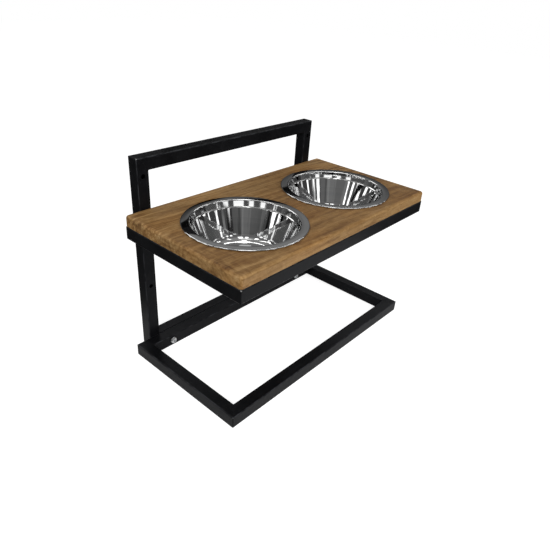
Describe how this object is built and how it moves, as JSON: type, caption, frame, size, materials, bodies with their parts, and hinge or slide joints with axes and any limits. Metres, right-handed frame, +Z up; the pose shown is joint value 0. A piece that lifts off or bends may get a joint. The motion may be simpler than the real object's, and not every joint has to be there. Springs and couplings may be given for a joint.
{
  "type": "dog feeder stand",
  "caption": "Raised dog feeder: a wooden tray with drop-in steel bowls, cantilevered from an upright frame of square tube on a flat floor frame.",
  "frame": {"origin": "on the floor, at the centre of the footprint of the whole feeder", "axes": "+X to the right seen from the front, +Y to the back, towards the upright, +Z up"},
  "size_m": [0.55, 0.33, 0.408],
  "materials": {
    "black_steel": "satin powder coat",
    "zinc": "bright zinc plate",
    "wood": "oiled, straight grain along X",
    "stainless": "polished stainless steel"
  },
  "bodies": {
    "stand": {"base_front_rail": "black_steel", "base_back_rail": "black_steel", "base_left_rail": "black_steel", "base_right_rail": "black_steel", "base_welds": "black_steel", "base_bolts": "zinc", "base_washers": "zinc", "base_nuts": "zinc", "upright_bottom_rail": "black_steel", "upright_top_rail": "black_steel", "upright_left_post": "black_steel", "upright_right_post": "black_steel", "upright_welds": "black_steel", "tray_washers": "zinc", "tray_nuts": "zinc"},
    "tray": {"tray_front_rail": "black_steel", "tray_back_rail": "black_steel", "tray_left_rail": "black_steel", "tray_right_rail": "black_steel", "tray_welds": "black_steel", "tray_bolts": "zinc", "board": "wood", "board_screws": "zinc"},
    "left_bowl": {"left_bowl": "stainless"},
    "right_bowl": {"right_bowl": "stainless"}
  },
  "joints": [
    {"name": "tray_release", "type": "slide", "parent": "stand", "child": "tray", "axis": [0, -1, 0], "range_m": [0, 0.065]},
    {"name": "left_bowl_lift", "type": "slide", "parent": "tray", "child": "left_bowl", "axis": [0, 0, 1], "range_m": [0, 0.09]},
    {"name": "right_bowl_lift", "type": "slide", "parent": "tray", "child": "right_bowl", "axis": [0, 0, 1], "range_m": [0, 0.09]}
  ]
}
